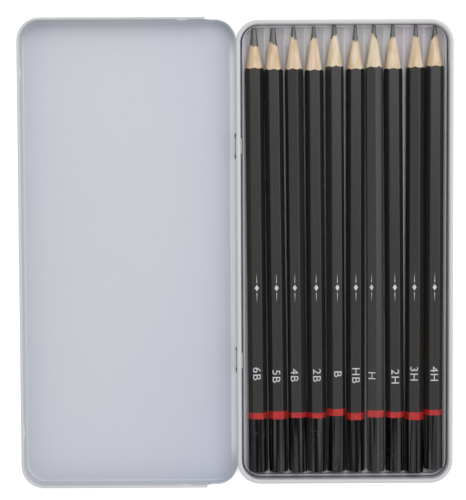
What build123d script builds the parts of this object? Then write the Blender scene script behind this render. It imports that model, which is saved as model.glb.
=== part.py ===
from build123d import *
from collections import namedtuple
from math import asin, atan2, cos, degrees, radians, sin, sqrt, tan
import os

# A set of ten hexagonal graphite pencils in a hinged tin, with the lid folded flat open.
# Millimetres. Origin on the table under the middle of the base tin, +X away from the lid,
# +Y towards the pencils' points, +Z up.

# Tinplate of both tins
sheet = 0.28  # thickness
corner_radius = 9.0  # in plan, over the rolled rim
floor_bend = 1.1  # outer radius where a wall meets its floor
curl_end = 105.0  # degrees below level at which a rolled rim stops

# Base tin
rim_height = 8.4
base_bead = 1.85  # outer diameter of the rolled rim

# Lid
lid_bead = 1.1  # outer diameter of its rolled rim
lid_depth = 9.3  # over front and sides
lid_gap = 0.1  # between the base's rim and the lid's side walls when closed
front_gap = 0.8  # the same at the lid's front wall, where the hinge's slack needs room
rear_wall_offset = 0.75  # from the hinge's axis to the lid's rear wall
rear_wall_gap = 0.15  # over the base's rim when closed
rear_step = 10.4  # length of side wall that is as low as the rear wall
rear_slope = 2.4  # length over which it then rises to the rolled rim
hem_depth = 1.2  # folded edge along the rear wall
hem_thickness = 0.6
hem_rounding = 0.45  # of its thickness
hem_proud = 0.02  # of the wall's outer face

# Hinge: two tongues of the lid curl round the base's rear rim
tongue_width = 6.0
tongue_spread = 84.0  # between the middles of the two tongues
tongue_gap = 0.08  # between the rim and the tongue's inside
tongue_end = 20.0  # degrees above level, inside the open tin
notch_width = 1.7  # cut in the lid's edge on each side of a tongue
notch_depth = 1.5
slot_gap = 0.25  # round the tongue in the base's wall

# Snap dimples in the lid's rolled edge, which hook under the base's rim
dimple_length = 5.5
dimple_radius = 0.55
dimple_below_rim = 0.62
dimple_dent = 0.22  # depth of the dent that shows outside
front_dimple_spread = 140.8
side_dimple_from_hinge = 21.75

# Formed plastic insert
film = 0.32  # thickness
insert_end_gap = 0.25  # to the tin, at each end if it lay in the middle
insert_side_gap = 0.6  # to the tin, on each side if it lay in the middle
insert_shift = 0.15  # it has slid this far from the hinge
insert_slide = 0.1  # and this far towards the points
insert_margin = 1.05  # from its edge to the outermost grooves
insert_corner = 6.4
insert_height = 3.0  # top of the lip over the table
insert_lip = 0.7
insert_draft = 8.0  # degrees
groove_radius = 5.7
ridge_half_width = 0.395  # from a ridge's crown to where the groove's arc begins
groove_lift = 0.06  # under the grooves, over the tin's floor

# Pencils
pencil_length = 176.2  # of the longest
pencil_play = 2.0  # free length in the tin beyond that pencil
pencil_spacing = 0.4546  # between neighbours, edge to edge, where each lies in its groove's middle
across_flats = 6.5  # over the lacquer
edge_radius = 0.55
lacquer = 0.06
ring_film = 0.04
dip_film = 0.06
dip_end = 0.35  # thickness of the dipped coat over the butt
dip_rounding = 0.5  # of the end's edges
core_gap = 0.02  # glue line round the core
wood_edge = 0.08  # thickness of the wood where it ends on the core
flare = 1.4  # slope of the sharpened cone's last stretch, which scallops the lacquer's edge
point_rounding = 0.35  # of the worn tip's edge, at most
point_rounding_share = 0.45  # of the worn tip's width, at most
seat_gap = 0.1  # from a pencil's edges to its groove
point_place = 72.0  # along the tin, where aside_point is taken
ring_place = -64.0  # where aside_ring is taken

Pencil = namedtuple(
    "Pencil",
    "grade core blunt lead cone shorter tip_gap ring ring_width aside_point aside_ring roll",
)

# Sizes that differ from pencil to pencil: core diameter, width of the worn tip, bare lead,
# whole sharpened cone, how much shorter it is than the longest, gap from its tip to the tin,
# distance of the ring from the butt and its width, how far it lies to the side of its groove's
# middle near the point and near the ring, and roll from flat-up towards +X in degrees
pencils = [
    Pencil("6b", 3.3, 1.95, 7.1, 15.6, 1.90, 1.30, 21.2, 2.5, -0.245, 0.705, 0.0),
    Pencil("5b", 3.0, 2.05, 6.0, 16.1, 1.90, 1.30, 21.2, 3.1, -0.585, 0.815, 0.0),
    Pencil("4b", 2.4, 1.40, 4.5, 16.6, 1.30, 0.70, 21.7, 2.1, -0.385, 0.775, -12.0),
    Pencil("2b", 2.3, 1.30, 4.6, 17.0, 1.30, 0.70, 21.5, 2.1, -0.305, 0.585, 0.0),
    Pencil("b", 2.2, 1.50, 4.3, 16.2, 0.70, 0.10, 22.4, 2.7, -0.155, 0.395, 10.0),
    Pencil("hb", 2.2, 1.05, 5.9, 17.0, 0.90, 0.30, 20.7, 2.8, 0.195, 0.215, 0.0),
    Pencil("h", 2.2, 1.25, 4.5, 16.5, 0.75, 0.15, 21.7, 2.7, -0.275, 0.265, -27.0),
    Pencil("2h", 2.2, 1.25, 5.2, 17.1, 0.75, 0.15, 21.5, 2.3, -0.675, 0.175, 0.0),
    Pencil("3h", 2.1, 1.15, 5.0, 16.7, 0.00, 0.10, 21.3, 3.0, 0.375, 0.135, -8.0),
    Pencil("4h", 2.1, 1.25, 4.1, 15.8, 1.75, 0.50, 21.8, 2.1, 0.025, -0.155, 0.0),
]

# Places that follow from those sizes
edge_centre = (across_flats / 2 - edge_radius) / cos(radians(30))  # from a pencil's axis
groove_pitch = 2 * (edge_centre + edge_radius) + pencil_spacing
groove_half_width = groove_pitch / 2 - ridge_half_width
insert_width = groove_pitch * len(pencils) + 2 * insert_margin
base_width = insert_width + 2 * (insert_side_gap + base_bead)  # over the rolled rim
base_length = pencil_length + pencil_play + 2 * base_bead
base_wall_x = base_width / 2 - base_bead  # inner face of the side walls
base_wall_y = base_length / 2 - base_bead
hinge_x = -(base_width - base_bead) / 2
hinge_z = rim_height - base_bead / 2
closed_height = 2 * hinge_z  # so that the opened lid lies flat on the table
lid_length = base_length + 2 * (lid_gap + lid_bead)
lid_front = 2 * hinge_x - (base_width / 2 + front_gap + lid_bead)
lid_rear = hinge_x - rear_wall_offset
rear_wall_height = closed_height - rim_height - rear_wall_gap
insert_length = 2 * (base_wall_y - insert_end_gap)
groove_floor = sheet + groove_lift + film  # top of the film in a groove's middle
far = 400.0  # longer than anything here


def arc(centre, radius, start, end):
    """Arc in the XZ plane between two angles in degrees, counted from +X towards +Z."""
    x, z = centre
    angles = [radians(a) for a in (start, (start + end) / 2, end)]
    return ThreePointArc(*[(x + radius * cos(a), 0, z + radius * sin(a)) for a in angles])


def line(start, end):
    """Straight edge in the XZ plane."""
    return Line((start[0], 0, start[1]), (end[0], 0, end[1]))


def box(x, y, z):
    """Block between the given low and high x, y and z."""
    size = [high - low for low, high in (x, y, z)]
    middle = [(high + low) / 2 for low, high in (x, y, z)]
    return Pos(*middle) * Box(*size)


def run_round(section, low, high, corner):
    """Run a section round a rounded rectangle from its low to its high corner in plan.

    The section lies in the XZ plane, with x counted outwards from a corner's centre."""
    x0, x1 = low[0] + corner, high[0] - corner
    y0, y1 = low[1] + corner, high[1] - corner
    ring = []
    for x, y, angle, length in (
        (x1, y0, 0, y1 - y0),
        (x1, y1, 90, x1 - x0),
        (x0, y1, 180, y1 - y0),
        (x0, y0, 270, x1 - x0),
    ):
        place = Pos(x, y, 0) * Rot(0, 0, angle)
        ring.append(place * extrude(section, amount=length, dir=(0, 1, 0)))
        ring.append(place * revolve(section, axis=Axis.Z, revolution_arc=-90))
    return ring


def wall_section(outside, height, bead):
    """Bent floor edge, wall and rolled rim, whose outside is this far from the corner's centre."""
    inner = outside - bead
    outer = inner + sheet
    bend = outer - floor_bend
    centre = (inner + bead / 2, height - bead / 2)
    roll, bore = bead / 2, bead / 2 - sheet
    tip = radians(-curl_end)
    return make_face(
        [
            line((bend, 0), (bend, sheet)),
            arc((bend, floor_bend), floor_bend - sheet, -90, 0),
            line((inner, floor_bend), (inner, centre[1])),
            arc(centre, roll, 180, -curl_end),
            line(
                (centre[0] + roll * cos(tip), centre[1] + roll * sin(tip)),
                (centre[0] + bore * cos(tip), centre[1] + bore * sin(tip)),
            ),
            arc(centre, bore, -curl_end, 180),
            line((outer, centre[1]), (outer, floor_bend)),
            arc((bend, floor_bend), floor_bend, 0, -90),
        ]
    )


def tin_shell(low, high, height, bead):
    """Floor, walls and rolled rim of one tin, over its rim from low to high in plan."""
    inset = bead - sheet + floor_bend
    width, length = high[0] - low[0] - 2 * inset, high[1] - low[1] - 2 * inset
    floor = extrude(RectangleRounded(width, length, corner_radius - inset), amount=sheet)
    floor = Pos((low[0] + high[0]) / 2, (low[1] + high[1]) / 2, 0) * floor
    return floor.fuse(*run_round(wall_section(corner_radius, height, bead), low, high, corner_radius))


def make_base():
    """Base tin with a slot through its rear wall for each of the lid's tongues."""
    corner = (base_width / 2, base_length / 2)
    tin = tin_shell((-corner[0], -corner[1]), corner, rim_height, base_bead)
    reach = base_bead / 2 + tongue_gap + sheet
    for side in (-1, 1):
        y = side * tongue_spread / 2
        half = tongue_width / 2 + slot_gap
        tin -= box(
            (hinge_x, -base_wall_x + sheet),
            (y - half, y + half),
            (hinge_z - reach - slot_gap / 2, hinge_z - slot_gap),
        )
    return tin


def tongue():
    """Strip that leaves the lid's rear edge under the base's rim and curls up inside it."""
    inner = base_bead / 2 + tongue_gap
    outer = inner + sheet
    end = radians(tongue_end)
    start = lid_rear - sheet
    centre = (hinge_x, hinge_z)
    face = make_face(
        [
            line((start, hinge_z - outer), (hinge_x, hinge_z - outer)),
            arc(centre, outer, -90, tongue_end),
            line(
                (hinge_x + outer * cos(end), hinge_z + outer * sin(end)),
                (hinge_x + inner * cos(end), hinge_z + inner * sin(end)),
            ),
            arc(centre, inner, tongue_end, -90),
            line((hinge_x, hinge_z - inner), (start, hinge_z - inner)),
            line((start, hinge_z - inner), (start, hinge_z - outer)),
        ]
    )
    return extrude(face, amount=tongue_width / 2, dir=(0, 1, 0), both=True)


def dimple(length, radius):
    """Spindle along X that swells to the radius at its middle."""
    half = length / 2
    outline = make_face([ThreePointArc((-half, 0), (0, radius), (half, 0)), Line((half, 0), (-half, 0))])
    return revolve(outline, axis=Axis.X)


def make_lid():
    """Lid as it lies open: its inside is up and its rear wall is beside the base's rear rim."""
    over_bead = lid_bead - sheet
    low = (lid_front, -lid_length / 2)
    high = (lid_rear + over_bead, lid_length / 2)
    lid = tin_shell(low, high, lid_depth, lid_bead)
    step = lid_rear - rear_step
    over = make_face(
        [
            line((step, rear_wall_height), (far, rear_wall_height)),
            line((far, rear_wall_height), (far, far)),
            line((far, far), (step - rear_slope, far)),
            line((step - rear_slope, far), (step - rear_slope, lid_depth)),
            line((step - rear_slope, lid_depth), (step, rear_wall_height)),
        ]
    )
    lid -= extrude(over, amount=far, dir=(0, 1, 0), both=True)

    hem = Plane.XZ * RectangleRounded(hem_thickness, hem_depth, hem_thickness * hem_rounding)
    hem_outside = corner_radius - over_bead + hem_proud
    hem_middle = (hem_outside - hem_thickness / 2, 0, rear_wall_height - hem_depth / 2)
    strip = Part() + run_round(Pos(*hem_middle) * hem, low, high, corner_radius)
    lid += strip & box((step, far), (-far, far), (0, lid_depth))

    for side in (-1, 1):
        y = side * tongue_spread / 2
        for edge in (-1, 1):
            notch = y + edge * (tongue_width + notch_width) / 2
            lid -= box(
                (lid_rear - 2 * hem_thickness, far),
                (notch - notch_width / 2, notch + notch_width / 2),
                (rear_wall_height - notch_depth, far),
            )
        lid += Pos(0, y, 0) * tongue()

    z = lid_depth - dimple_below_rim
    dent_out = dimple_radius - dimple_dent
    side_x = hinge_x - side_dimple_from_hinge
    for side in (-1, 1):
        front = Pos(lid_front, side * front_dimple_spread / 2, z)
        flank = Pos(side_x, side * lid_length / 2, z)
        bump = dimple(dimple_length, dimple_radius)
        lid += front * Pos(lid_bead, 0, 0) * Rot(0, 0, 90) * bump
        lid += flank * Pos(0, -side * lid_bead, 0) * bump
        lid -= front * Pos(-dent_out, 0, 0) * Rot(0, 0, 90) * bump
        lid -= flank * Pos(0, side * dent_out, 0) * bump
    return lid


def groove_line(offset):
    """Edges of the scalloped floor from left to right, this far under its upper side."""
    slope = asin(groove_half_width / groove_radius)
    ridge_radius = groove_pitch / 2 / sin(slope) - groove_radius
    tilt = degrees(slope)
    groove_z = groove_floor + groove_radius
    ridge_z = groove_z - (groove_radius + ridge_radius) * cos(slope)
    crown = ridge_z + ridge_radius - offset
    first = insert_shift - groove_pitch * (len(pencils) - 1) / 2
    last = first + groove_pitch * (len(pencils) - 1)
    ends = first - groove_pitch / 2, last + groove_pitch / 2
    edge = base_width / 2

    edges = [line((-edge, crown), (ends[0], crown))]
    edges.append(arc((ends[0], ridge_z), ridge_radius - offset, 90, 90 - tilt))
    for i in range(len(pencils)):
        x = first + groove_pitch * i
        edges.append(arc((x, groove_z), groove_radius + offset, -90 - tilt, -90 + tilt))
        final = 90 if i == len(pencils) - 1 else 90 - tilt
        edges.append(arc((x + groove_pitch / 2, ridge_z), ridge_radius - offset, 90 + tilt, final))
    edges.append(line((ends[1], crown), (edge, crown)))
    return edges, crown


def make_insert():
    """Formed tray with a lip, drafted walls and one groove for each pencil."""
    lip_outer = insert_corner
    inner_top = lip_outer - insert_lip
    drop = insert_height - sheet
    lean = drop * tan(radians(insert_draft))
    slant = film / cos(radians(insert_draft))
    under_lip = insert_height - film
    lean_under = film * tan(radians(insert_draft))
    section = make_face(
        [
            line((inner_top, insert_height), (lip_outer, insert_height)),
            line((lip_outer, insert_height), (lip_outer, under_lip)),
            line((lip_outer, under_lip), (inner_top + slant - lean_under, under_lip)),
            line((inner_top + slant - lean_under, under_lip), (inner_top + slant - lean, sheet)),
            line((inner_top + slant - lean, sheet), (inner_top - lean, sheet)),
            line((inner_top - lean, sheet), (inner_top, insert_height)),
        ]
    )
    low = (insert_shift - insert_width / 2, insert_slide - insert_length / 2)
    high = (insert_shift + insert_width / 2, insert_slide + insert_length / 2)
    walls = run_round(section, low, high, insert_corner)

    upper, crown = groove_line(0)
    lower, lower_crown = groove_line(film)
    edge = base_width / 2
    ends = [line((x, crown), (x, lower_crown)) for x in (-edge, edge)]
    floor = extrude(make_face(upper + lower + ends), amount=insert_length, dir=(0, 1, 0), both=True)
    # the floor is cut off half way through the drafted walls
    middle_height = (insert_height - (crown + sheet) / 2) * tan(radians(insert_draft))
    trim = insert_lip - slant / 2 + middle_height
    plan = RectangleRounded(insert_width - 2 * trim, insert_length - 2 * trim, insert_corner - trim)
    floor &= Pos(insert_shift, insert_slide, 0) * extrude(plan, amount=insert_height)
    return floor.fuse(*walls)


def hexagon(grow, start, end):
    """Hexagonal bar along Y with a flat up, this much fatter than the lacquer on every side."""
    outline = RegularPolygon(across_flats / 2 + grow, 6, major_radius=False)
    outline = fillet(outline.vertices(), edge_radius + grow)
    return Pos(0, start, 0) * extrude(Plane.XZ * outline, amount=end - start, dir=(0, 1, 0))


def turned(points):
    """Solid turned about the Y axis from (radius, y) points that start and end on the axis."""
    return revolve(make_face(Polyline(*points, close=True)), axis=Axis.Y)


def ends_of(pencil):
    """Places of a pencil's tip and of its butt along the tin."""
    point = base_wall_y - pencil.tip_gap
    return point, point - (pencil_length - pencil.shorter)


def make_pencil(pencil):
    """Wood casing, core, lacquer, ring and dipped end of one pencil, lying along Y at x = z = 0."""
    point, butt = ends_of(pencil)
    wood_start = point - pencil.lead
    shoulder = point - pencil.cone
    wood_end = butt + dip_end
    core_radius = pencil.core / 2
    thin = core_radius + wood_edge
    wide = across_flats
    sharpened = turned(
        [
            (0, wood_end),
            (wide, wood_end),
            (wide, shoulder - (wide - across_flats / 2) / flare),
            (across_flats / 2, shoulder),
            (thin, wood_start),
            (0, wood_start),
        ]
    )
    bore = turned(
        [
            (0, wood_end),
            (core_radius + core_gap, wood_end),
            (core_radius + core_gap, point),
            (0, point),
        ]
    )
    casing = (hexagon(-lacquer, wood_end, wood_start) & sharpened) - bore
    coat = (hexagon(0, wood_end, wood_start) - hexagon(-lacquer, wood_end, wood_start)) & sharpened

    tip = (pencil.blunt / 2, point)
    corners = [(0, wood_end), (core_radius, wood_end), (core_radius, wood_start), tip, (0, point)]
    outline = make_face(Polyline(*corners, close=True))
    worn = outline.vertices().sort_by_distance((*tip, 0))[0]
    core = revolve(fillet(worn, min(point_rounding, point_rounding_share * pencil.blunt)), axis=Axis.Y)

    ring_start = butt + pencil.ring
    ring_end = ring_start + pencil.ring_width
    ring = hexagon(ring_film, ring_start, ring_end) - hexagon(0, ring_start, ring_end)
    dip = hexagon(dip_film, butt, ring_start)
    dip = fillet(dip.faces().sort_by(Axis.Y)[0].edges(), dip_rounding)
    dip -= hexagon(0, wood_end, ring_start)
    return {"casing": casing, "core": core, "lacquer": coat, "ring": ring, "dip": dip}


def drift(pencil):
    """Sideways drift of a pencil for each millimetre towards its point."""
    return (pencil.aside_point - pencil.aside_ring) / (point_place - ring_place)


def seat_height(pencil):
    """Height of a pencil's axis at which its lowest edges clear their groove by the seat's gap."""
    room = groove_radius - seat_gap - dip_film - edge_radius
    point, butt = ends_of(pencil)
    heights = []
    for y in (butt, point - pencil.cone):
        offset = pencil.aside_point + drift(pencil) * (y - point_place)
        for corner in range(6):
            angle = radians(60 * corner - pencil.roll)
            across = offset + edge_centre * cos(angle)
            if sin(angle) < 0 and abs(across) < groove_half_width:
                below = sqrt(room**2 - across**2)
                heights.append(groove_floor + groove_radius - edge_centre * sin(angle) - below)
    return max(heights)


def keep(name, shape):
    """Write one node's file."""
    export_step(shape, f"parts/{name}.step")


os.makedirs("parts", exist_ok=True)
keep("tin_base", make_base())
keep("tin_lid", make_lid())
keep("tray_insert", make_insert())
for number, pencil in enumerate(pencils):
    groove_x = insert_shift + groove_pitch * (number - (len(pencils) - 1) / 2)
    middle_x = groove_x + pencil.aside_point - drift(pencil) * point_place
    yaw = degrees(atan2(drift(pencil), 1))
    height = seat_height(pencil)
    place = Pos(middle_x, 0, height) * Rot(0, 0, -yaw) * Rot(0, pencil.roll, 0)
    print(pencil.grade, "axis height", round(height, 3), "yaw", round(yaw, 3))
    for piece, shape in make_pencil(pencil).items():
        keep(f"pencil_{pencil.grade}_{piece}", place * shape)
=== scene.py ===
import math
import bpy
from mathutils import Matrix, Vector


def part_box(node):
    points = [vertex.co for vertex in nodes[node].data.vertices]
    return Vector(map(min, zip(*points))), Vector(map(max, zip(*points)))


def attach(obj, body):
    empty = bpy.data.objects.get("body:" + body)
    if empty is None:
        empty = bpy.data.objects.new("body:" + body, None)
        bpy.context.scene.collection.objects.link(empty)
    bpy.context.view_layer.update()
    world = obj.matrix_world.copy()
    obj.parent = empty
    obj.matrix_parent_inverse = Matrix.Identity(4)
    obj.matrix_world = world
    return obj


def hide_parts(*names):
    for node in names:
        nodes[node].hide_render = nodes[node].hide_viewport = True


bl_info = {
    "name": "Graphite pencil tin",
    "version": (1, 0, 0),
    "blender": (4, 5, 0),
    "location": "View3D > Sidebar > Pencil tin",
    "description": "Dresses a hinged tin of ten graphite pencils and sets up its studio",
    "category": "Object",
}

import bmesh
import bpy
from bpy.props import FloatProperty, FloatVectorProperty, PointerProperty
from mathutils import Euler, Matrix, Vector, noise

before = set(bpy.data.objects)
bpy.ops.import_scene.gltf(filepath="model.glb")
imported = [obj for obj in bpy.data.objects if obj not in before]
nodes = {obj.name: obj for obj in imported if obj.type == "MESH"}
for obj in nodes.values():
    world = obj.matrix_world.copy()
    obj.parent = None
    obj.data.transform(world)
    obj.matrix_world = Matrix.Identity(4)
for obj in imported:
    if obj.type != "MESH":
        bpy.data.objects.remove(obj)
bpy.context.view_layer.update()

MM = 0.001
GRADES = ("6b", "5b", "4b", "2b", "b", "hb", "h", "2h", "3h", "4h")
# Turn of each pencil about its own length, in degrees, positive towards +X
ROLL = {"4b": -12.0, "b": 10.0, "h": -27.0, "3h": -8.0}
ACROSS_FLATS = 6.5 * MM
EDGE_ROUNDING = 0.55 * MM
FLANK = math.radians(60)  # between neighbouring facets
# How much further up the lead the wood reaches on a pencil's right than on its left, in
# millimetres, since no point is sharpened quite in line
WOOD_LEAN = {
    "6b": -0.5, "5b": -1.9, "4b": -1.9, "2b": 1.2, "b": 1.7,
    "hb": -0.6, "h": -2.3, "2h": 0.9, "3h": -0.8, "4h": 1.5,
}
# From pink, 0, to yellow, 1
WOOD_TONE = {
    "6b": 0.1, "5b": 0.2, "4b": 0.3, "2b": 0.35, "b": 0.85,
    "hb": 0.55, "h": 1.0, "2h": 0.5, "3h": 0.6, "4h": 0.2,
}


class Lay:
    """Where one pencil lies: its axis and the ends of its pieces, from the frame, and its roll."""

    def __init__(self, grade):
        self.grade = grade
        self.body = "pencil_" + grade
        self.low, high = self.centres("casing")
        self.along = (high - self.low).normalized()
        self.yaw = math.atan2(-self.along.x, self.along.y)
        self.roll = math.radians(ROLL.get(grade, 0.0))
        self.lead_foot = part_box(self.body + "_casing")[1].y
        self.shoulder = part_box(self.body + "_lacquer")[1].y
        self.ring_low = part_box(self.body + "_ring")[0].y
        self.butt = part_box(self.body + "_dip")[0].y
        self.core_radius = self.width("core") / 2
        self.lean = self.along.x / self.along.y
        self.foot_x = self.low.x - self.low.y * self.lean

    def mesh_points(self, piece):
        """Every point of the piece's mesh."""
        return [v.co for v in nodes[f"{self.body}_{piece}"].data.vertices]

    def centres(self, piece):
        """Middle of the piece's section at its low and at its high end."""
        found = []
        points = self.mesh_points(piece)
        for end in (min(p.y for p in points), max(p.y for p in points)):
            near = [p for p in points if abs(p.y - end) < 0.2 * MM]
            xs, zs = [p.x for p in near], [p.z for p in near]
            found.append(Vector(((min(xs) + max(xs)) / 2, end, (min(zs) + max(zs)) / 2)))
        return found

    def width(self, piece):
        """Width of the piece in the pencil's lower half, measured upwards."""
        points = [p for p in self.mesh_points(piece) if p.y < 0]
        return max(p.z for p in points) - min(p.z for p in points)

    def axis_at(self, y):
        """Point on the pencil's axis."""
        return self.low + self.along * ((y - self.low.y) / self.along.y)

    def matrix(self, y):
        """Axes of the pencil at a place along it: Y along the pencil, Z out of its top facet."""
        turn = Matrix.Rotation(self.yaw, 4, "Z") @ Matrix.Rotation(self.roll, 4, "Y")
        return Matrix.Translation(self.axis_at(y)) @ turn


LAYS = {grade: Lay(grade) for grade in GRADES}
# Middle of each grade mark along the tin, in millimetres
MARK_PLACE = {
    "6b": -47.3, "5b": -48.3, "4b": -47.9, "2b": -48.0, "b": -47.6,
    "hb": -48.2, "h": -48.3, "2h": -48.6, "3h": -47.6, "4h": -47.6,
}
# How far some grade marks lie to the left of their facet's middle, in millimetres
MARK_ASIDE = {"6b": 0.3, "5b": 0.55, "4b": 0.5}
CAP_SHARE = 0.729  # height of the font's capitals, as a share of its size
WIDE_LETTERS = 1.10  # width of the stamped letters, as a share of the font's own
LETTER_SPACING = 1.08  # as a share of the font's own
THINNER_STROKES = 0.02 * MM  # taken off the letters' outlines
FOIL_THICKNESS = 0.012 * MM
FOIL_LIFT = 0.012 * MM  # off the facet, so that the two faces never meet
BUTT_ROUNDING = 0.5 * MM
SAG_HEIGHT = 0.065 * MM  # of the unevenness of the dipped ends

TONGUE_PLACE = 42.0 * MM  # middle of each hinge tongue, from the tin's middle
TONGUE_REACH = 4.7 * MM  # half of the tongue and its two notches
# Strips along the hinge: where each starts, is full, fades and ends across the tin, in millimetres
# painted shade on the lid by the hinge, where the open base's rear wall shades it
HINGE_SHADE = (-52.0, -46.0, -45.2, -44.4)
# painted light on the hem where it turns up, whose inner wall faces away from the lamps
HEM_LIGHT = (-45.2, -44.3, -42.6, -42.4)
# painted shade in the seam between the lid's hem and the base's rim
SEAM_SHADE = (-43.1, -42.8, -42.55, -42.35)
DARK_TABLE = (-43.8, -43.3, -41.8, -41.3)

# The camera looks almost straight down
CAMERA_PLACE = (-0.04476, 0.03962, 0.650)
CAMERA_TILT = (-3.400, -0.101, -0.267)  # degrees
SENSOR_WIDTH = 24.0  # millimetres
FLOOR_REACH = 1.6  # from its middle to each side
FLOOR_DROP = 0.1 * MM  # so that the tins' undersides stay clear of it
LAMP_SIZE = 0.8
TOP_LAMP_PLACE = (0.21, 0.52, 1.05)
RIGHT_LAMP_PLACE = (0.95, 0.2, 0.5)
LAMP_AIM = (-0.04, 0.0, 0.0)  # middle of the opened tin
BRIGHTER_SIDE = (0.6, 0.8)  # direction in which the sky grows brighter


class Value:
    """A socket that adds Math nodes when it is used in an expression."""

    def __init__(self, sheet, socket):
        self.sheet, self.socket = sheet, socket

    def maths(self, operation, *others, clamp=False):
        """This value and others through one Math node."""
        names = {"use_clamp": clamp, "operation": operation}
        node = self.sheet.add("ShaderNodeMath", names, dict(enumerate((self, *others))))
        return Value(self.sheet, node.outputs[0])

    def __add__(self, other):
        return self.maths("ADD", other)

    __radd__ = __add__

    def __mul__(self, other):
        return self.maths("MULTIPLY", other)

    __rmul__ = __mul__

    def __sub__(self, other):
        return self.maths("SUBTRACT", other)

    def __rsub__(self, other):
        return (self * -1.0) + other

    def __truediv__(self, other):
        return self.maths("DIVIDE", other)

    def __gt__(self, other):
        return self.maths("GREATER_THAN", other)

    def __lt__(self, other):
        return self.maths("LESS_THAN", other)

    def __abs__(self):
        return self.maths("ABSOLUTE", 0.0)

    def clamp(self):
        """The value, held between 0 and 1."""
        return self.maths("ADD", 0.0, clamp=True)

    def step(self, low, high):
        """Smooth rise from 0 at low to 1 at high."""
        node = self.sheet.add(
            "ShaderNodeMapRange",
            {"interpolation_type": "SMOOTHSTEP"},
            {"Value": self, "From Min": low, "From Max": high},
        )
        return Value(self.sheet, node.outputs[0])


class Sheet:
    """Node tree of one material or sky."""

    def __init__(self, owner):
        self.owner = owner
        owner.use_nodes = True
        self.tree = owner.node_tree
        self.tree.nodes.clear()
        coordinates = self.add("ShaderNodeTexCoord")
        self.place, self.direction = coordinates.outputs["Object"], coordinates.outputs["Generated"]

    def add(self, kind, settings=None, sockets=None):
        """One node: its settings, then the values or links of its sockets."""
        node = self.tree.nodes.new(kind)
        for name, value in (settings or {}).items():
            setattr(node, name, value)
        for name, value in (sockets or {}).items():
            self.feed(node.inputs[name], value)
        return node

    def feed(self, socket, value):
        """Link a socket to a value's or a node's output, or set it to a number, colour or vector."""
        if isinstance(value, Value):
            value = value.socket
        if isinstance(value, bpy.types.NodeSocket):
            self.tree.links.new(value, socket)
        elif socket.type == "RGBA" and len(value) == 3:
            socket.default_value = (*value, 1.0)
        else:
            socket.default_value = value

    def axes(self, source=None):
        """X, Y and Z of the coordinates."""
        split = self.add("ShaderNodeSeparateXYZ", None, {0: source or self.place})
        return [Value(self, out) for out in split.outputs]

    def stretched(self, scale, turn=(0, 0, 0), shift=(0, 0, 0)):
        """Coordinates scaled along each axis, turned and moved."""
        sockets = {"Vector": self.place, "Scale": scale, "Rotation": turn, "Location": shift}
        return self.add("ShaderNodeMapping", None, sockets).outputs[0]

    def vector(self, x, y, z):
        """Coordinates made of three values."""
        return self.add("ShaderNodeCombineXYZ", None, {"X": x, "Y": y, "Z": z}).outputs[0]

    def noise(self, scale, source=None, detail=2.0, roughness=0.5, distortion=0.0):
        """Soft random value, about 0.5 on average."""
        sockets = {"Scale": scale, "Detail": detail, "Roughness": roughness, "Distortion": distortion}
        node = self.add("ShaderNodeTexNoise", None, {"Vector": source or self.place, **sockets})
        return Value(self, node.outputs["Fac"])

    def cells(self, scale, source=None):
        """Distance from the nearest of many scattered points."""
        node = self.add("ShaderNodeTexVoronoi", None, {"Vector": source or self.place, "Scale": scale})
        return Value(self, node.outputs["Distance"])

    def mix(self, share, first, second):
        """Colour between two others."""
        node = self.add("ShaderNodeMix", {"data_type": "RGBA"}, {0: share, 6: first, 7: second})
        return node.outputs[2]

    def darker(self, colour, factor):
        """Colour multiplied by a value."""
        return self.mix(factor, (0.0, 0.0, 0.0), colour)

    def bump(self, height, distance, strength):
        """Normal of a surface that rises and falls with a height."""
        sockets = {"Height": height, "Distance": distance, "Strength": strength}
        return self.add("ShaderNodeBump", None, sockets).outputs[0]

    def surface(self, **sockets):
        """Principled shader with these sockets, as the material's surface."""
        named = {name.replace("_", " "): value for name, value in sockets.items()}
        shader = self.add("ShaderNodeBsdfPrincipled", None, named)
        self.add("ShaderNodeOutputMaterial", None, {"Surface": shader.outputs[0]})
        return self.owner

    def sky(self, strength):
        """White light of this strength, as the world's surface."""
        glow = self.add("ShaderNodeBackground", None, {"Color": (1.0, 1.0, 1.0), "Strength": strength})
        self.add("ShaderNodeOutputWorld", None, {"Surface": glow.outputs[0]})
        return self.owner


def finish_sheet(name):
    """Sheet of a new material."""
    return Sheet(bpy.data.materials.new(name))


def tinted(colour, shares):
    """Colour with each channel multiplied by its share, and never past white."""
    return tuple(min(1.0, c * share) for c, share in zip(colour, shares))


def strip(x, edges):
    """From 0 up to 1 between the first two edges, and back to 0 between the last two."""
    start, full, fade, end = (edge * MM for edge in edges)
    return x.step(start, full) * (1.0 - x.step(fade, end))


def dress(node, material):
    """Give a node of the frame one material."""
    mesh = nodes[node].data
    mesh.materials.clear()
    mesh.materials.append(material)
    for polygon in mesh.polygons:
        polygon.material_index = 0


class TinFinish(bpy.types.PropertyGroup):
    paint: FloatVectorProperty(
        name="Paint",
        description="Colour of the tins' paint",
        default=(0.535, 0.55, 0.59),
        min=0,
        max=1,
        subtype="COLOR",
    )
    # the bluer colour that the painted reflection clouds mix into the paint
    cool: FloatVectorProperty(
        name="Cool paint",
        description="Colour of the paint where it looks bluer",
        default=(0.50, 0.52, 0.60),
        min=0,
        max=1,
        subtype="COLOR",
    )
    satin: FloatProperty(
        name="Satin", description="Roughness of the paint", default=0.34, min=0, max=1, subtype="FACTOR"
    )


class InsertFinish(bpy.types.PropertyGroup):
    film: FloatVectorProperty(
        name="Film",
        description="Colour of the formed plastic",
        default=(0.60, 0.60, 0.61),
        min=0,
        max=1,
        subtype="COLOR",
    )


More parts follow.
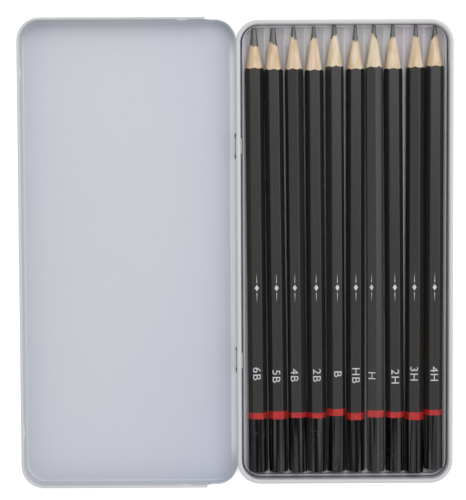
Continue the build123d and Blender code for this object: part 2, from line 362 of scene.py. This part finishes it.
class PencilFinish(bpy.types.PropertyGroup):
    pink_wood: FloatVectorProperty(
        name="Pink wood",
        description="Colour of the pinkest wood",
        default=(0.62, 0.48, 0.335),
        min=0,
        max=1,
        subtype="COLOR",
    )
    yellow_wood: FloatVectorProperty(
        name="Yellow wood",
        description="Colour of the yellowest wood",
        default=(0.64, 0.54, 0.385),
        min=0,
        max=1,
        subtype="COLOR",
    )
    graphite: FloatVectorProperty(
        name="Graphite",
        description="Colour of the leads",
        default=(0.13, 0.13, 0.125),
        min=0,
        max=1,
        subtype="COLOR",
    )
    lacquer: FloatVectorProperty(
        name="Lacquer",
        description="Colour of the pencils' lacquer",
        default=(0.015, 0.015, 0.0145),
        min=0,
        max=1,
        subtype="COLOR",
    )
    ring: FloatVectorProperty(
        name="Ring",
        description="Colour of the rings",
        default=(0.32, 0.011, 0.012),
        min=0,
        max=1,
        subtype="COLOR",
    )
    dip: FloatVectorProperty(
        name="Dip",
        description="Colour of the dipped ends",
        default=(0.002, 0.002, 0.002),
        min=0,
        max=1,
        subtype="COLOR",
    )
    dip_coat: FloatProperty(
        name="Dip coat",
        description="Thickness of the dipped ends over the lacquer",
        default=0.05 * MM,
        min=0,
        max=0.001,
        unit="LENGTH",
    )


class MarkFinish(bpy.types.PropertyGroup):
    foil: FloatVectorProperty(
        name="Foil",
        description="Colour of the stamped foil",
        default=(0.60, 0.60, 0.61),
        min=0,
        max=1,
        subtype="COLOR",
    )
    cap_height: FloatProperty(
        name="Cap height",
        description="Height of the grade marks' capitals",
        default=3.2 * MM,
        min=0.001,
        max=0.005,
        unit="LENGTH",
    )
    ornament_place: FloatProperty(
        name="Ornament place",
        description="From the tin's middle back to the middle of the ornaments",
        default=13.5 * MM,
        min=0,
        max=0.1,
        unit="LENGTH",
    )
    ornament_length: FloatProperty(
        name="Ornament length",
        description="Length of the stamped ornament",
        default=11.6 * MM,
        min=0.001,
        max=0.03,
        unit="LENGTH",
    )


class StudioLook(bpy.types.PropertyGroup):
    lens: FloatProperty(
        name="Lens", description="Focal length", default=79.0, min=20, max=200, unit="CAMERA"
    )
    sky: FloatProperty(
        name="Sky", description="Strength of the light from half way up the sky", default=0.88, min=0, max=5
    )
    zenith: FloatProperty(
        name="Zenith", description="Strength of the light from overhead", default=0.64, min=0, max=5
    )
    horizon: FloatProperty(
        name="Horizon", description="Strength of the light from low down", default=0.48, min=0, max=5
    )
    slant: FloatProperty(
        name="Slant",
        description="How much brighter the sky is beyond the points and the base's front",
        default=0.02,
        min=0,
        max=1,
        subtype="FACTOR",
    )
    top_light: FloatProperty(
        name="Top light",
        description="Power of the lamp beyond the points",
        default=4.2,
        min=0,
        unit="POWER",
    )
    right_light: FloatProperty(
        name="Right light",
        description="Power of the lamp beyond the base's front",
        default=2.0,
        min=0,
        unit="POWER",
    )
    table_glow: FloatProperty(
        name="Table glow", description="Light that comes up through the pale table", default=0.46, min=0
    )


def painted_tin(look):
    """Satin paint over pressed tinplate: orange peel, soft clouds of painted reflection, specks and worn
    rims.
    """
    s = finish_sheet("painted_tin")
    x, y, z = s.axes()
    # painted reflection: slanted soft clouds mix a bluer colour into the satin paint
    slanted = s.stretched((9.0, 3.5, 9.0), turn=(0, 0, math.radians(24)))
    reflection_cloud = s.noise(1.0, slanted, detail=1.5).step(0.35, 0.65)
    colour = s.mix(reflection_cloud, tuple(look.paint), tuple(look.cool))
    fine = s.noise(90.0, detail=3.0)
    # the rolled rims are rubbed a little, and dust and tiny pits dot the paint
    rubbed = z.step(6.4 * MM, 8.3 * MM) * s.noise(260.0, detail=4.0).step(0.56, 0.72)
    speck = s.cells(420.0) < 0.035
    # by the hinge the lid's paint is darkened with painted shade, then made paler with painted light
    # where the hem turns up, and painted shade sits in the seam between the hem and the base's rim, most
    # of all beside the two tongues; the outsides of the tins, which lie on the table, get no hem light and
    # no seam shade
    inside = z.step(0.14 * MM, 0.26 * MM)
    # painted shade on the lid by the hinge, where the open base's rear wall shades it
    hinge_shade = strip(x, HINGE_SHADE)
    straight = 1.0 - abs(y).step(76.0 * MM, 86.0 * MM)
    hem = strip(x, HEM_LIGHT) * inside * straight
    # painted shade in the seam between the hem and the base's rim, deepest beside the two tongues' notches
    from_tongue = abs(abs(y) - TONGUE_PLACE)
    along_tongue = 1.0 - from_tongue.step(TONGUE_REACH, TONGUE_REACH + 0.5 * MM)
    beside = along_tongue * from_tongue.step(TONGUE_REACH - 1.8 * MM, TONGUE_REACH - 1.0 * MM)
    seam_shade = strip(x, SEAM_SHADE) * inside * (0.22 + 0.35 * along_tongue + 0.40 * beside)
    tone = (0.985 + 0.03 * fine - 0.03 * rubbed - 0.22 * speck - 0.06 * hinge_shade) * (1.0 - seam_shade)
    peel = s.noise(1500.0, detail=2.0)
    # the rolled rims look less blue than the flat paint
    colour = s.mix(0.8 * z.step(5.5 * MM, 7.2 * MM), colour, (look.paint[1],) * 3)
    # painted light: the hem's paint is made paler than its lighting leaves it
    colour = s.mix(0.8 * hem, colour, tinted(look.paint, (1.5,) * 3))
    return s.surface(
        Base_Color=s.darker(colour, tone),
        Roughness=look.satin + 0.10 * (fine - 0.5) + 0.08 * rubbed,
        Normal=s.bump(peel - 0.6 * speck, 0.02 * MM, 0.22),
    )


def formed_film(look):
    """Glossy grey film with draw streaks along the grooves, fine scuffs and a faint violet tint."""
    s = finish_sheet("formed_film")
    wide = s.noise(1.0, s.stretched((420.0, 5.0, 60.0)), detail=2.0)
    narrow = s.noise(1.0, s.stretched((1700.0, 14.0, 200.0)), detail=3.0)
    tint = s.noise(1.0, s.stretched((260.0, 3.0, 60.0), shift=(3.0, 1.0, 0.0)), detail=1.0)
    base = s.mix(tint.step(0.35, 0.65), tuple(look.film), tinted(look.film, (1.02, 0.97, 1.04)))
    scuff = s.noise(1.0, s.stretched((3200.0, 160.0, 900.0)), detail=4.0).step(0.62, 0.8)
    tone = 0.80 + 0.30 * wide + 0.14 * narrow + 0.10 * scuff
    return s.surface(
        Base_Color=s.darker(base, tone),
        Roughness=0.16 + 0.12 * narrow + 0.16 * scuff,
        Normal=s.bump(0.7 * wide + 0.3 * narrow, 0.12 * MM, 0.35),
    )


def round_axis(s, lay):
    """A point's place across, above and along a pencil, the first two in radii of its lead."""
    x, y, z = s.axes()
    across = (x - (y * lay.lean + lay.foot_x)) / lay.core_radius
    above = (z - lay.low.z) / lay.core_radius
    return across, above, y


def past_wood(s, lay):
    """How far a point is past the jagged line where the wood ends on the lead, in metres."""
    across, above, y = round_axis(s, lay)
    ring = s.vector(across, above, GRADES.index(lay.grade) * 7.3)
    jag = s.noise(1.15, ring, detail=1.0) - 0.5
    splinter = s.noise(4.2, ring, detail=1.5) - 0.5
    lean = WOOD_LEAN[lay.grade] / 2 * MM
    return y - (lay.lead_foot + lean * across + 2.8 * MM * jag + 1.8 * MM * splinter)


def bare_wood(s, lay, look):
    """Colour and height of the turned wood."""
    tone = WOOD_TONE[lay.grade]
    even = [p + (q - p) * tone for p, q in zip(look.pink_wood, look.yellow_wood)]
    shift = (0.7 * GRADES.index(lay.grade), 0.0, 0.0)
    fibre = s.noise(1.0, s.stretched((2100.0, 70.0, 2100.0), shift=shift), detail=4.0, roughness=0.6)
    figure = s.noise(1.0, s.stretched((520.0, 26.0, 520.0), shift=shift), detail=2.0, distortion=0.4)
    pore = s.noise(1.0, s.stretched((5200.0, 420.0, 5200.0), shift=shift), detail=1.0).step(0.63, 0.75)
    turned = s.noise(1.0, s.stretched((40.0, 2600.0, 40.0)), detail=2.0)
    dark, light = tinted(even, (0.86, 0.78, 0.68)), tinted(even, (1.08, 1.12, 1.2))
    colour = s.mix(figure.step(0.3, 0.7), dark, light)
    colour = s.darker(colour, 0.94 + 0.12 * fibre - 0.14 * pore)
    return colour, 0.5 * fibre + 0.35 * turned - 0.5 * pore


def lead_finish(s, lay, look):
    """Colour and height of the graphite, scratched lengthwise by the sharpener."""
    across = round_axis(s, lay)[0]
    scratch = s.noise(1.0, s.stretched((5200.0, 240.0, 5200.0)), detail=3.0)
    fleck = s.noise(2400.0, detail=3.0)
    # painted shade: the flanks are darker than the crest
    shaded_flank = abs(across).step(0.35, 1.0)
    tone = 0.74 + 0.34 * scratch + 0.22 * fleck - 0.42 * shaded_flank
    return s.darker(tuple(look.graphite), tone), scratch + 0.4 * fleck


def sharpened(name, lay, look, smudge):
    """Wood below the jagged line and graphite above it, with the wood smudged this far below it."""
    s = finish_sheet(name)
    past = past_wood(s, lay)
    graphite = past.step(-0.05 * MM, 0.05 * MM)
    wood, wood_height = bare_wood(s, lay, look)
    lead, lead_height = lead_finish(s, lay, look)
    dirty = past.step(-smudge, 0.0) * s.noise(900.0, detail=3.0).step(0.35, 0.75)
    wood = s.darker(wood, 1.0 - 0.34 * dirty)
    height = wood_height + graphite * (0.5 * lead_height - wood_height)
    return s.surface(
        Base_Color=s.mix(graphite, wood, lead),
        Metallic=graphite * 0.45,
        Roughness=0.66 - 0.26 * graphite,
        Normal=s.bump(height, 0.05 * MM, 0.45),
    )


def black_lacquer(look, lay):
    """Satin black lacquer over wood, whose grain and ripples show in the gloss."""
    s = finish_sheet("lacquer_" + lay.grade)
    ripple = s.noise(1.0, s.stretched((420.0, 16.0, 420.0)), detail=2.0)
    grain = s.noise(1.0, s.stretched((2400.0, 60.0, 2400.0)), detail=3.0)
    orange_peel = s.noise(1800.0, detail=1.0)
    speck = s.cells(700.0) < 0.03
    y = s.axes()[1]
    # the blade leaves the lacquer's edge torn where the cone starts
    tear = s.noise(1.0, s.stretched((1300.0, 0.0, 1300.0)), detail=3.0).step(0.32, 0.68)
    nick = y > lay.shoulder - 0.36 * MM * tear
    warm = tinted(look.lacquer, (1.25, 1.12, 1.05))
    colour = s.mix(ripple.step(0.3, 0.7), tuple(look.lacquer), warm)
    colour = s.mix(nick * 0.85, colour, tuple(look.pink_wood))
    colour = s.mix(speck * 0.5, colour, (0.22, 0.22, 0.21))
    return s.surface(
        Base_Color=colour,
        Roughness=0.27 + 0.10 * (grain - 0.5) + 0.2 * nick,
        Normal=s.bump(0.6 * ripple + 0.3 * grain + 0.1 * orange_peel, 0.06 * MM, 0.4),
    )


def red_ring(look):
    """Glossy red band, uneven where it was rolled on over the edges."""
    s = finish_sheet("red_ring")
    patch = s.noise(700.0, detail=3.0)
    thin = s.noise(1.0, s.stretched((900.0, 300.0, 900.0)), detail=2.0).step(0.55, 0.75)
    colour = s.mix(patch.step(0.3, 0.7), tuple(look.ring), tinted(look.ring, (1.35,) * 3))
    colour = s.mix(thin * 0.25, colour, (0.62, 0.10, 0.06))
    return s.surface(
        Base_Color=colour,
        Roughness=0.24 + 0.12 * patch,
        Normal=s.bump(patch, 0.05 * MM, 0.4),
    )


def dipped_black(look):
    """Thick glossy black, with dust in it, runs and drier streaks along the pencil."""
    s = finish_sheet("dipped_black")
    sag = s.noise(1.0, s.stretched((700.0, 45.0, 700.0)), detail=3.0)
    run = s.noise(1.0, s.stretched((1600.0, 30.0, 1600.0)), detail=2.0)
    streak = s.noise(1.0, s.stretched((640.0, 14.0, 640.0)), detail=2.0).step(0.49, 0.59)
    apart = s.stretched((700.0, 16.0, 700.0), shift=(5.0, 2.0, 1.0))
    wet = s.noise(1.0, apart, detail=2.0).step(0.44, 0.54)
    here = s.noise(120.0, detail=2.0).step(0.56, 0.66)
    grit = (s.cells(1.0, s.stretched((1500.0, 1100.0, 1500.0))) < 0.13) * here
    scratch = (s.cells(1.0, s.stretched((1300.0, 420.0, 1300.0), turn=(0.0, 0.0, 0.5))) < 0.07) * here
    dust = (grit + scratch).clamp()
    colour = s.mix(streak, tuple(look.dip), (0.034, 0.032, 0.032))
    colour = s.mix(dust * 0.7, colour, (0.50, 0.50, 0.49))
    return s.surface(
        Base_Color=colour,
        Roughness=0.30 + 0.16 * streak + 0.35 * dust,
        Specular_IOR_Level=0.05,
        Coat_Weight=0.08 + 0.92 * wet,
        Coat_Roughness=0.07,
        Normal=s.bump(0.6 * sag + 0.4 * run + 0.15 * dust, 0.3 * MM, 0.55),
    )


def stamped_foil(look):
    """Pale foil, slightly broken where the lacquer's grain lifted it."""
    s = finish_sheet("stamped_foil")
    worn = s.noise(1.0, s.stretched((3000.0, 900.0, 3000.0)), detail=3.0)
    return s.surface(
        Base_Color=s.darker(tuple(look.foil), 0.72 + 0.4 * worn),
        Metallic=0.25,
        Roughness=0.34 + 0.2 * worn,
        Normal=s.bump(worn, 0.02 * MM, 0.4),
    )


def pale_table(look):
    """Pale table that glows a little, but not in the narrow seam under the hinge."""
    s = finish_sheet("pale_table")
    x, y = s.axes()[:2]
    under = strip(x, DARK_TABLE) * (1.0 - abs(y).step(60.0 * MM, 80.0 * MM))
    return s.surface(
        Base_Color=(0.9, 0.9, 0.9),
        Roughness=0.9,
        Emission_Color=s.darker((1.0, 1.0, 1.0), 1.0 - under),
        Emission_Strength=look.table_glow,
    )


def studio_sky(look):
    """Soft white sky, brightest half way up, and more so beyond the points and the base's front."""
    s = Sheet(bpy.data.worlds.new("studio"))
    x, y, z = s.axes(s.direction)
    low_part = (look.sky - look.horizon) * z.step(0.0, 0.45)
    high_part = (look.sky - look.zenith) * z.step(0.86, 0.975)
    dome = look.horizon + low_part - high_part
    return s.sky(dome * (1.0 + look.slant * (BRIGHTER_SIDE[0] * x + BRIGHTER_SIDE[1] * y)))


def hexagon_outline(grow, steps=7):
    """Points of a rounded hexagon with a flat up, this much fatter than the lacquer, as (x, z)."""
    reach = (ACROSS_FLATS / 2 - EDGE_ROUNDING) / math.cos(FLANK / 2)
    rounding = EDGE_ROUNDING + grow

    def on_corner(corner, turn):
        """Point of a rounded corner, this far round from the corner's middle."""
        middle = FLANK * corner
        return [reach * part(middle) + rounding * part(middle + turn) for part in (math.cos, math.sin)]

    outline = []
    for corner in range(6):
        outline += [on_corner(corner, FLANK * (i / steps - 0.5)) for i in range(steps + 1)]
        # points along the facet, so that the coat can sag on it
        ends = on_corner(corner, FLANK / 2), on_corner(corner + 1, -FLANK / 2)
        outline += [[p + (q - p) * i / steps for p, q in zip(*ends)] for i in range(1, steps)]
    return outline


def solid_piece(name, mesh_work, material, body, smooth=True):
    """New mesh object that rides on a body."""
    mesh = bpy.data.meshes.new(name)
    mesh_work.to_mesh(mesh)
    mesh_work.free()
    for polygon in mesh.polygons:
        polygon.use_smooth = smooth
    piece = bpy.data.objects.new(name, mesh)
    bpy.context.scene.collection.objects.link(piece)
    mesh.materials.append(material)
    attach(piece, body)
    return piece


def dipped_end(lay, coat, material):
    """Dipped coat with sags and runs, closed over the butt and open where the ring starts."""
    work = bmesh.new()
    outline = hexagon_outline(coat)
    half_section = ACROSS_FLATS / 2
    straight = lay.ring_low - lay.butt - BUTT_ROUNDING
    round_steps, straight_steps = 6, 60
    seed = Vector((GRADES.index(lay.grade) * 3.7, 1.9, 0.0))
    # (distance from the butt, share of the section's size)
    stations = []
    for i in range(round_steps + 1):
        turn = math.pi / 2 * (1 - i / round_steps)
        inwards = BUTT_ROUNDING * (1 - math.cos(turn))
        stations.append((BUTT_ROUNDING * (1 - math.sin(turn)), 1 - inwards / half_section))
    for i in range(1, straight_steps + 1):
        stations.append((BUTT_ROUNDING + straight * i / straight_steps, 1.0))
    place = lay.matrix(lay.butt)
    rings = []
    for along, share in stations:
        ring = []
        for x, z in outline:
            at = Vector((x / MM * 0.8, along / MM * 0.09, z / MM * 0.8)) + seed
            sag = max(-0.6, noise.noise(at) + 0.5 * noise.noise(at * 2.1))
            grow = share + SAG_HEIGHT * sag * min(1.0, along / MM) / half_section
            ring.append(work.verts.new(place @ Vector((x * grow, along, z * grow))))
        rings.append(ring)
    count = len(outline)
    for one, two in zip(rings, rings[1:]):
        for i in range(count):
            j = (i + 1) % count
            work.faces.new((one[i], one[j], two[j], two[i]))
    middle = work.verts.new(place @ Vector((0.0, 0.0, 0.0)))
    for i in range(count):
        work.faces.new((middle, rings[0][(i + 1) % count], rings[0][i]))
    bmesh.ops.recalc_face_normals(work, faces=work.faces)
    piece = solid_piece(f"pencil_{lay.grade}_dipped_end", work, material, lay.body)
    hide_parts(f"pencil_{lay.grade}_dip")


def lettering(words, height):
    """Flat mesh of a word, centred, with its capitals this high and reading along +X."""
    curve = bpy.data.curves.new("lettering", "FONT")
    curve.body = words
    curve.size = height / CAP_SHARE
    curve.align_x, curve.align_y = "LEFT", "BOTTOM_BASELINE"
    curve.space_character = LETTER_SPACING
    curve.extrude = FOIL_THICKNESS / 2
    curve.offset = -THINNER_STROKES
    curve.resolution_u = 6
    maker = bpy.data.objects.new("lettering", curve)
    bpy.context.scene.collection.objects.link(maker)
    bpy.context.view_layer.update()
    mesh = bpy.data.meshes.new_from_object(maker)
    bpy.data.objects.remove(maker)
    bpy.data.curves.remove(curve)
    work = bmesh.new()
    work.from_mesh(mesh)
    bpy.data.meshes.remove(mesh)
    xs, ys = [v.co.x for v in work.verts], [v.co.y for v in work.verts]
    to_middle = (-(min(xs) + max(xs)) / 2, -(min(ys) + max(ys)) / 2, 0)
    bmesh.ops.translate(work, verts=work.verts, vec=to_middle)
    bmesh.ops.scale(work, verts=work.verts, vec=(WIDE_LETTERS, 1.0, 1.0))
    return work


def on_facet(lay, y, lift):
    """Axes on a pencil's top facet: X runs towards the butt and Y to the right."""
    turn = Matrix(((0, 1, 0, 0), (-1, 0, 0, 0), (0, 0, 1, ACROSS_FLATS / 2 + lift), (0, 0, 0, 1)))
    return lay.matrix(y) @ turn


def grade_mark(lay, look, material):
    """Grade stamped on the top facet, read from the hinge side."""
    work = lettering(lay.grade.upper(), look.cap_height)
    aside = Matrix.Translation((0.0, -MARK_ASIDE.get(lay.grade, 0.0) * MM, 0.0))
    work.transform(on_facet(lay, MARK_PLACE[lay.grade] * MM, FOIL_LIFT) @ aside)
    piece = solid_piece(f"pencil_{lay.grade}_grade_mark", work, material, lay.body, smooth=False)


def plate(work, points, thickness):
    """Closed flat plate with this outline."""
    low = [work.verts.new((x, y, 0.0)) for x, y in points]
    high = [work.verts.new((x, y, thickness)) for x, y in points]
    work.faces.new(high)
    work.faces.new(list(reversed(low)))
    for i in range(len(points)):
        j = (i + 1) % len(points)
        work.faces.new((low[i], low[j], high[j], high[i]))


def ornament(lay, look, material):
    """Plain diamond between two tapering hairlines."""
    work = bmesh.new()
    half, wide, gap, fine = look.ornament_length / 2, 0.85 * MM, 0.7 * MM, 0.14 * MM
    long = 1.5 * wide
    plate(work, [(-long, 0.0), (0.0, -wide), (long, 0.0), (0.0, wide)], FOIL_THICKNESS)
    for side in (-1, 1):
        near, far = side * (long + gap), side * half
        plate(work, [(near, -fine), (far, 0.0), (near, fine)][::side], FOIL_THICKNESS)
    work.transform(on_facet(lay, -look.ornament_place, FOIL_LIFT))
    piece = solid_piece(f"pencil_{lay.grade}_ornament", work, material, lay.body, smooth=False)


def place_camera(scene, look):
    """Camera over the opened tin."""
    camera = bpy.data.objects.new("camera", bpy.data.cameras.new("camera"))
    scene.collection.objects.link(camera)
    camera.location = CAMERA_PLACE
    camera.rotation_euler = Euler([math.radians(turn) for turn in CAMERA_TILT], "XYZ")
    camera.data.lens = look.lens
    camera.data.sensor_width = SENSOR_WIDTH
    camera.data.clip_start, camera.data.clip_end = 0.01, 20.0
    scene.camera = camera


def lay_floor(scene, look):
    """Square floor just under the tins."""
    mesh = bpy.data.meshes.new("floor")
    corners = [(FLOOR_REACH * x, FLOOR_REACH * y, 0.0) for x, y in ((-1, -1), (1, -1), (1, 1), (-1, 1))]
    mesh.from_pydata(corners, [], [(0, 1, 2, 3)])
    floor = bpy.data.objects.new("floor", mesh)
    floor.location.z = -FLOOR_DROP
    scene.collection.objects.link(floor)
    mesh.materials.append(pale_table(look))


def hang_lamp(scene, name, place, power):
    """Square soft lamp that faces the middle of the opened tin."""
    lamp = bpy.data.lights.new(name, "AREA")
    lamp.shape, lamp.size, lamp.energy = "SQUARE", LAMP_SIZE, power
    light = bpy.data.objects.new(name, lamp)
    light.location = place
    towards = Vector(LAMP_AIM) - Vector(place)
    light.rotation_euler = towards.to_track_quat("-Z", "Y").to_euler()
    scene.collection.objects.link(light)


class TINSET_OT_paint_tins(bpy.types.Operator):
    """Paint the base tin and the lid"""

    bl_idname = "tinset.paint_tins"
    bl_label = "Paint the tins"

    def execute(self, context):
        material = painted_tin(context.scene.tinset_tin)
        for node in ("tin_base", "tin_lid"):
            dress(node, material)
        return {"FINISHED"}


class TINSET_OT_form_insert(bpy.types.Operator):
    """Finish the formed plastic insert"""

    bl_idname = "tinset.form_insert"
    bl_label = "Finish the insert"

    def execute(self, context):
        dress("tray_insert", formed_film(context.scene.tinset_insert))
        return {"FINISHED"}


class TINSET_OT_sharpen_pencils(bpy.types.Operator):
    """Finish the sharpened wood and the leads"""

    bl_idname = "tinset.sharpen_pencils"
    bl_label = "Finish the points"

    def execute(self, context):
        look = context.scene.tinset_pencil
        for grade, lay in LAYS.items():
            dress(f"pencil_{grade}_casing", sharpened("wood_" + grade, lay, look, 1.1 * MM))
            dress(f"pencil_{grade}_core", sharpened("lead_" + grade, lay, look, 0.4 * MM))
        return {"FINISHED"}


class TINSET_OT_lacquer_pencils(bpy.types.Operator):
    """Lacquer the pencils and roll on their rings"""

    bl_idname = "tinset.lacquer_pencils"
    bl_label = "Lacquer the pencils"

    def execute(self, context):
        look = context.scene.tinset_pencil
        ring = red_ring(look)
        for grade, lay in LAYS.items():
            dress(f"pencil_{grade}_lacquer", black_lacquer(look, lay))
            dress(f"pencil_{grade}_ring", ring)
        return {"FINISHED"}


class TINSET_OT_dip_ends(bpy.types.Operator):
    """Dip the pencils' ends"""

    bl_idname = "tinset.dip_ends"
    bl_label = "Dip the ends"

    def execute(self, context):
        look = context.scene.tinset_pencil
        material = dipped_black(look)
        for lay in LAYS.values():
            dipped_end(lay, look.dip_coat, material)
        return {"FINISHED"}


class TINSET_OT_stamp_pencils(bpy.types.Operator):
    """Stamp the grades and the ornaments in foil"""

    bl_idname = "tinset.stamp_pencils"
    bl_label = "Stamp the pencils"

    def execute(self, context):
        look = context.scene.tinset_mark
        material = stamped_foil(look)
        for lay in LAYS.values():
            grade_mark(lay, look, material)
            ornament(lay, look, material)
        return {"FINISHED"}


class TINSET_OT_set_studio(bpy.types.Operator):
    """Lay the floor and set the lights and the camera"""

    bl_idname = "tinset.set_studio"
    bl_label = "Set the studio"

    def execute(self, context):
        scene = context.scene
        look = scene.tinset_studio
        place_camera(scene, look)
        lay_floor(scene, look)
        scene.world = studio_sky(look)
        hang_lamp(scene, "top_softbox", TOP_LAMP_PLACE, look.top_light)
        hang_lamp(scene, "right_softbox", RIGHT_LAMP_PLACE, look.right_light)
        scene.view_settings.view_transform = "Standard"
        return {"FINISHED"}


class TINSET_PT_panel(bpy.types.Panel):
    """Finishes and steps of the pencil tin"""

    bl_label = "Pencil tin"
    bl_idname = "TINSET_PT_panel"
    bl_space_type = "VIEW_3D"
    bl_region_type = "UI"
    bl_category = "Pencil tin"

    def draw(self, context):
        for name in GROUPS:
            group = getattr(context.scene, name)
            for prop in group.bl_rna.properties:
                if prop.identifier not in ("rna_type", "name"):
                    self.layout.prop(group, prop.identifier)
        for operator in OPERATORS:
            self.layout.operator(operator.bl_idname)


GROUPS = {
    "tinset_tin": TinFinish,
    "tinset_insert": InsertFinish,
    "tinset_pencil": PencilFinish,
    "tinset_mark": MarkFinish,
    "tinset_studio": StudioLook,
}
OPERATORS = (
    TINSET_OT_paint_tins,
    TINSET_OT_form_insert,
    TINSET_OT_sharpen_pencils,
    TINSET_OT_lacquer_pencils,
    TINSET_OT_dip_ends,
    TINSET_OT_stamp_pencils,
    TINSET_OT_set_studio,
)


def register():
    for name, group in GROUPS.items():
        bpy.utils.register_class(group)
        setattr(bpy.types.Scene, name, PointerProperty(type=group))
    for operator in OPERATORS:
        bpy.utils.register_class(operator)
    bpy.utils.register_class(TINSET_PT_panel)


def unregister():
    bpy.utils.unregister_class(TINSET_PT_panel)
    for operator in reversed(OPERATORS):
        bpy.utils.unregister_class(operator)
    for name, group in reversed(GROUPS.items()):
        delattr(bpy.types.Scene, name)
        bpy.utils.unregister_class(group)


def main():
    register()
    for operator in OPERATORS:
        space, step = operator.bl_idname.split(".")
        getattr(getattr(bpy.ops, space), step)()


if __name__ == "__main__":
    main()
